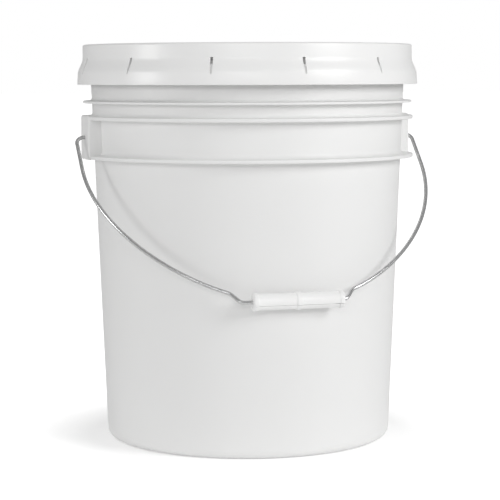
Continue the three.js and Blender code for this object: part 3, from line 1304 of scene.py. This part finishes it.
@dataclass
class BailWire:
    """The drawn wire: pins in the ears, elbows, sweeping arms and the seat in the grip."""

    frame: BailFrame
    radius: float = 1.75
    half_width: float = 164.0
    end: float = 146.6
    end_round: float = 0.4
    pin_middle: float = 152.0
    elbow: float = 7.9
    straights: tuple[float, ...] = (16.0, 24.0, 32.0)  # down the arm, above the shoulder
    shoulder: float = 39.0
    shoulder_pull: float = 67.0
    sweep_pull: float = 60.0
    sweep_slope: float = 25.3  # degrees
    offset_rise: float = 11.7
    offset_length: float = 13.0
    offset_pull: float = 6.0
    seat: float = 45.3  # half the straight seat in the grip
    sides: int = 16
    elbow_steps: int = 12
    sweep_steps: int = 56
    offset_steps: int = 14
    smooth_angle: float = 40.0  # degrees

    def half_route(self) -> list[Point]:
        """Lays out half the wire's route.

        Returns:
            Its points from the pin's end, as (across, down from the pivot) in millimetres.
        """
        slope = math.radians(self.sweep_slope)
        reach = self.frame.reach
        sweep_end = (self.seat + self.offset_length, reach - self.offset_rise)
        start = self.half_width - self.elbow
        route: list[Point] = [(self.end, 0.0), (self.pin_middle, 0.0), (start - 1, 0.0)]
        for step in range(self.elbow_steps + 1):
            turn = math.pi / 2 * step / self.elbow_steps
            route.append((start + self.elbow * math.sin(turn), self.elbow * (1 - math.cos(turn))))
        route += [(self.half_width, down) for down in (*self.straights, self.shoulder)]
        route += bezier(
            (
                (self.half_width, self.shoulder),
                (self.half_width, self.shoulder + self.shoulder_pull),
                (
                    sweep_end[0] + self.sweep_pull * math.cos(slope),
                    sweep_end[1] - self.sweep_pull * math.sin(slope),
                ),
                sweep_end,
            ),
            self.sweep_steps,
        )
        route += bezier(
            (
                sweep_end,
                (
                    sweep_end[0] - self.offset_pull * math.cos(slope),
                    sweep_end[1] + self.offset_pull * math.sin(slope),
                ),
                (self.seat + self.offset_pull, reach),
                (self.seat, reach),
            ),
            self.offset_steps,
        )
        return route

    def build(self) -> bpy.types.Object:
        """Models the wire: a disc drawn out along the route, turned at each step.

        Returns:
            The wire, where it rests.
        """
        half = self.half_route()
        route = [Vector((x, 0, -y)) for x, y in half]
        route += [Vector((-p.x, 0, p.z)) for p in reversed(route)]
        deselect()
        bpy.ops.mesh.primitive_circle_add(
            vertices=self.sides,
            radius=self.radius * MM,
            fill_type="NGON",
            location=route[0] * MM,
            rotation=(0, math.pi / 2, 0),
        )
        wire = apply_place(bpy.context.object)
        wire.name = "bail_wire_rod"
        bpy.ops.object.mode_set(mode="EDIT")
        bpy.ops.mesh.select_mode(type="FACE")
        bpy.ops.mesh.select_all(action="SELECT")
        heading = 0.0
        for index in range(1, len(route)):
            before = route[index] - route[index - 1]
            after = route[min(index + 1, len(route) - 1)] - route[index]
            along = before.normalized() + (after.normalized() if after.length else before)
            turn = math.atan2(-along.z, along.x)
            bpy.ops.mesh.extrude_region_move(TRANSFORM_OT_translate={"value": before * MM})
            turn_by(turn - heading, "Y", route[index] * MM)
            heading = turn
        bpy.ops.mesh.select_all(action="SELECT")
        bpy.ops.mesh.normals_make_consistent(inside=False)
        bpy.ops.object.mode_set(mode="OBJECT")
        bevel_edges(
            wire,
            lambda a, b: abs(abs(a.x) - self.end) < 0.01 and abs(abs(b.x) - self.end) < 0.01,
            self.end_round,
            2,
        )
        return smooth(self.frame.place(wire), math.radians(self.smooth_angle))


@dataclass
class HandGrip:
    """The moulded grip: collars at its ends and middle, and the slit that takes the wire."""

    frame: BailFrame
    length: float = 83.0
    radius: float = 7.3
    collar: float = 0.7
    collar_slope: float = 0.3
    end_collar: float = 4.0
    middle_collar: float = 4.4
    bore: float = 1.83
    end_wall: float = 2.4
    recess_wall: float = 2.8
    recess_depth: float = 0.8
    eye: float = 1.2  # the wall round the bore at each end
    eye_foot: float = 1.5
    eye_set_back: float = 0.2
    slit: float = 0.36
    slit_mouth: float = 1.5  # where it gapes, at the grip's +X end
    mouth_length: float = 12.0
    mouth_pinch: float = 0.5  # of the slit's width, where the mouth starts
    slit_turn: float = 25.0  # degrees below straight out of the pail
    shift: float = 3.4  # along the wire, towards +X
    steps: int = 96

    def pinch(self, block: bpy.types.Object, start: float) -> None:
        """Narrows one end of the block that cuts the slit's mouth.

        Args:
            block: the block, in object mode.
            start: the X of its narrow end, in millimetres.
        """
        select_vertices(block, lambda at: at.x < start + 1)
        narrow = self.mouth_pinch * self.slit / self.slit_mouth
        bpy.ops.transform.resize(value=(1, narrow, 1))
        bpy.ops.object.mode_set(mode="OBJECT")

    def build(self) -> bpy.types.Object:
        """Models the grip.

        Returns:
            The grip, where it rests.
        """
        outer = self.radius + self.collar
        end = self.length / 2
        half = [
            Corner(outer, self.middle_collar / 2, 0.35),
            Corner(self.radius, self.middle_collar / 2 + self.collar_slope, 0.3),
            Corner(self.radius, end - self.end_collar - self.collar_slope, 0.3),
            Corner(outer, end - self.end_collar, 0.4),
            Corner(outer, end, 1.3),
            Corner(self.radius - self.end_wall, end, 0.4),
            Corner(self.radius - self.recess_wall, end - self.recess_depth, 0.4),
            Corner(self.bore + self.eye_foot, end - self.recess_depth, 0.3),
            Corner(self.bore + self.eye, end - self.eye_set_back, 0.3),
            Corner(self.bore, end - self.eye_set_back, 0.2),
        ]
        mirrored = [Corner(c.r, -c.z, c.round) for c in reversed(half)]
        section = rounded([*mirrored, *half], closed=True, arc_steps=4)
        grip = turn_section("hand_grip", section, closed=True, steps=self.steps)
        focus(grip)
        turn_by(math.pi / 2, "Y")
        grip = apply_place(grip)
        for start, width in ((-end - 1, self.slit), (end - self.mouth_length, self.slit_mouth)):
            slit = add_block("slit", (start, -width / 2, 0), (end + 1, width / 2, outer + 1))
            if width > self.slit:
                self.pinch(slit, start)
            focus(slit)
            turn_by(math.pi / 2 + math.radians(self.slit_turn + self.frame.lean), "X")
            cut(grip, apply_place(slit))
        focus(grip)
        bpy.ops.transform.translate(value=(self.shift * MM, 0, -self.frame.reach * MM))
        return smooth(self.frame.place(apply_place(grip)))


# ---- Studio ----


@dataclass
class SoftLight:
    """A rectangular soft light, placed by its bearing, distance and height."""

    name: str
    bearing: float  # degrees; 0 is at -Y and 90 at +X
    distance: float  # metres
    height: float
    width: float
    tall: float
    power: float
    aim: float = 0.2  # the height that it points at

    def build(self) -> None:
        """Adds the light."""
        turn = math.radians(self.bearing)
        at = Vector((math.sin(turn), -math.cos(turn), 0)) * self.distance
        at.z = self.height
        data = bpy.data.lights.new(self.name, "AREA")
        data.shape = "RECTANGLE"
        data.size = self.width
        data.size_y = self.tall
        data.energy = self.power
        light = bpy.data.objects.new(self.name, data)
        bpy.context.scene.collection.objects.link(light)
        light.location = at
        light.rotation_euler = (Vector((0, 0, self.aim)) - at).to_track_quat("-Z", "Y").to_euler()


@dataclass
class Studio:
    """A plain white sweep of floor, soft light and the camera."""

    floor_half: float = 30.0
    floor_shade: float = 0.93
    floor_grain: float = 0.01
    painted_glow_near: float = 0.16  # painted light: the floor's glow for camera rays only, lighting nothing; weaker near the bucket, so the floor there reads darker as painted shade
    painted_glow_far: float = 0.8
    painted_bounce_glow: float = 0.13  # painted light: the floor's glow for all rays close to the bucket, a painted bounce that lights the pail's lower body
    sky_low: float = 0.37
    sky_high: float = 0.44
    lights: tuple[SoftLight, ...] = (
        SoftLight("key_softbox", 41, 2.3, 1.15, 1.1, 0.9, 26.0),
        SoftLight("front_softbox", -20, 2.4, 0.95, 1.3, 0.3, 7.0),
        SoftLight("left_softbox", -84, 2.0, 0.6, 0.55, 0.6, 8.0),
    )
    distance: float = 1.748
    bearing: float = -16.0
    camera_height: float = 0.3411
    pitch: float = 5.44
    yaw: float = 0.071
    roll: float = 0.17
    lens: float = 133.2

    def add_floor(self) -> None:
        """Adds the floor. Its emission is painted light: a camera-only glow fades it into the white
        surround away from the bucket but is weaker near the bucket, where the floor reads darker
        partly from real shadow and partly as painted shade; a glow for all rays near the bucket is
        a painted bounce onto the pail's lower body.
        """
        deselect()
        bpy.ops.mesh.primitive_plane_add(size=2 * self.floor_half, location=(0, 0, 0))
        floor = bpy.context.object
        floor.name = "studio_floor"
        material, nodes, shader, place = start_material("studio_floor_painted_glow")
        grain = nodes.noise(place, 40.0, 3.0)
        darkest = self.floor_shade - self.floor_grain
        tone = nodes.spread(grain, 0.3, 0.7, darkest, self.floor_shade)
        colour = nodes.add("ShaderNodeCombineColor", {0: tone, 1: tone, 2: tone}).outputs[0]
        seen = nodes.add("ShaderNodeLightPath").outputs["Is Camera Ray"]
        length = nodes.add("ShaderNodeVectorMath", {0: place}, operation="LENGTH")
        away = length.outputs["Value"]
        # painted light: a camera-only glow, weaker near the bucket, which leaves painted shade
        # round the base
        far = nodes.spread(away, 0.15, 0.28, self.painted_glow_near, self.painted_glow_far)
        # painted light: a glow for all rays near the bucket, a painted bounce onto the pail's lower
        # body
        near = nodes.spread(away, 0.11, 0.5, self.painted_bounce_glow, 0.0)
        # painted light: the floor's emission, both glows together
        white = nodes.math("MULTIPLY_ADD", seen, far, near)
        nodes.tree.links.new(colour, shader.inputs["Base Color"])
        nodes.tree.links.new(white, shader.inputs["Emission Color"])
        shader.inputs["Roughness"].default_value = 0.9
        shader.inputs["Specular IOR Level"].default_value = 0.0
        shader.inputs["Emission Strength"].default_value = 1.0
        floor.data.materials.append(material)

    def add_sky(self) -> None:
        """Adds the white surround, which lights more from above than from the sides."""
        world = bpy.data.worlds.new("white_surround")
        bpy.context.scene.world = world
        world.use_nodes = True
        tree = world.node_tree
        nodes = Nodes(tree)
        toward = nodes.add("ShaderNodeTexCoord").outputs["Generated"]
        up = nodes.add("ShaderNodeSeparateXYZ", {0: toward}).outputs["Z"]
        light = nodes.spread(up, 0.0, 0.9, self.sky_low, self.sky_high)
        seen = nodes.add("ShaderNodeLightPath").outputs["Is Camera Ray"]
        background = tree.nodes["Background"]
        tree.links.new(nodes.math("MAXIMUM", light, seen), background.inputs["Strength"])
        background.inputs["Color"].default_value = (1, 1, 1, 1)

    def add_camera(self) -> None:
        """Adds the camera, level with the rim and looking slightly down."""
        data = bpy.data.cameras.new("camera")
        data.lens = self.lens
        data.sensor_width = 36
        data.clip_end = 100
        camera = bpy.data.objects.new("camera", data)
        bpy.context.scene.collection.objects.link(camera)
        turn = math.radians(self.bearing)
        camera.location = (
            math.sin(turn) * self.distance,
            -math.cos(turn) * self.distance,
            self.camera_height,
        )
        camera.rotation_euler = (
            Matrix.Rotation(turn - math.radians(self.yaw), 3, "Z")
            @ Matrix.Rotation(math.radians(90 - self.pitch), 3, "X")
            @ Matrix.Rotation(math.radians(-self.roll), 3, "Z")
        ).to_euler()
        bpy.context.scene.camera = camera

    def build(self) -> None:
        """Adds the floor, the surround, the lights and the camera."""
        self.add_floor()
        self.add_sky()
        for light in self.lights:
            light.build()
        self.add_camera()
        bpy.context.scene.view_settings.view_transform = "Standard"


def main() -> None:
    """Builds and dresses the bucket in its studio."""
    logging.basicConfig(level=logging.INFO, format="%(name)s %(message)s")
    groups = Groups()
    pail_plastic = PAIL_FINISH.build(groups)
    rubber = SealRubber().build(groups)

    pail = Pail()
    pail.dress(pail.build(), pail_plastic)
    dress(Lid().build(), LID_FINISH.build(groups), Body.LID, Slot.LID, "lid")
    dress(Gasket().build(), rubber, Body.LID, Slot.RUBBER, "lid_gasket")
    dress(Grommet().build(), rubber, Body.LID, Slot.RUBBER, "airlock_grommet")

    hang = BailFrame()
    wire = BailWire(hang).build()
    dress(wire, GalvanisedWire().build(groups), Body.BAIL, Slot.STEEL, "bail_wire")
    grip = HandGrip(hang).build()
    dress(grip, GRIP_FINISH.build(groups), Body.GRIP, Slot.GRIP, "grip")

    Studio().build()


if __name__ == "__main__":
    main()
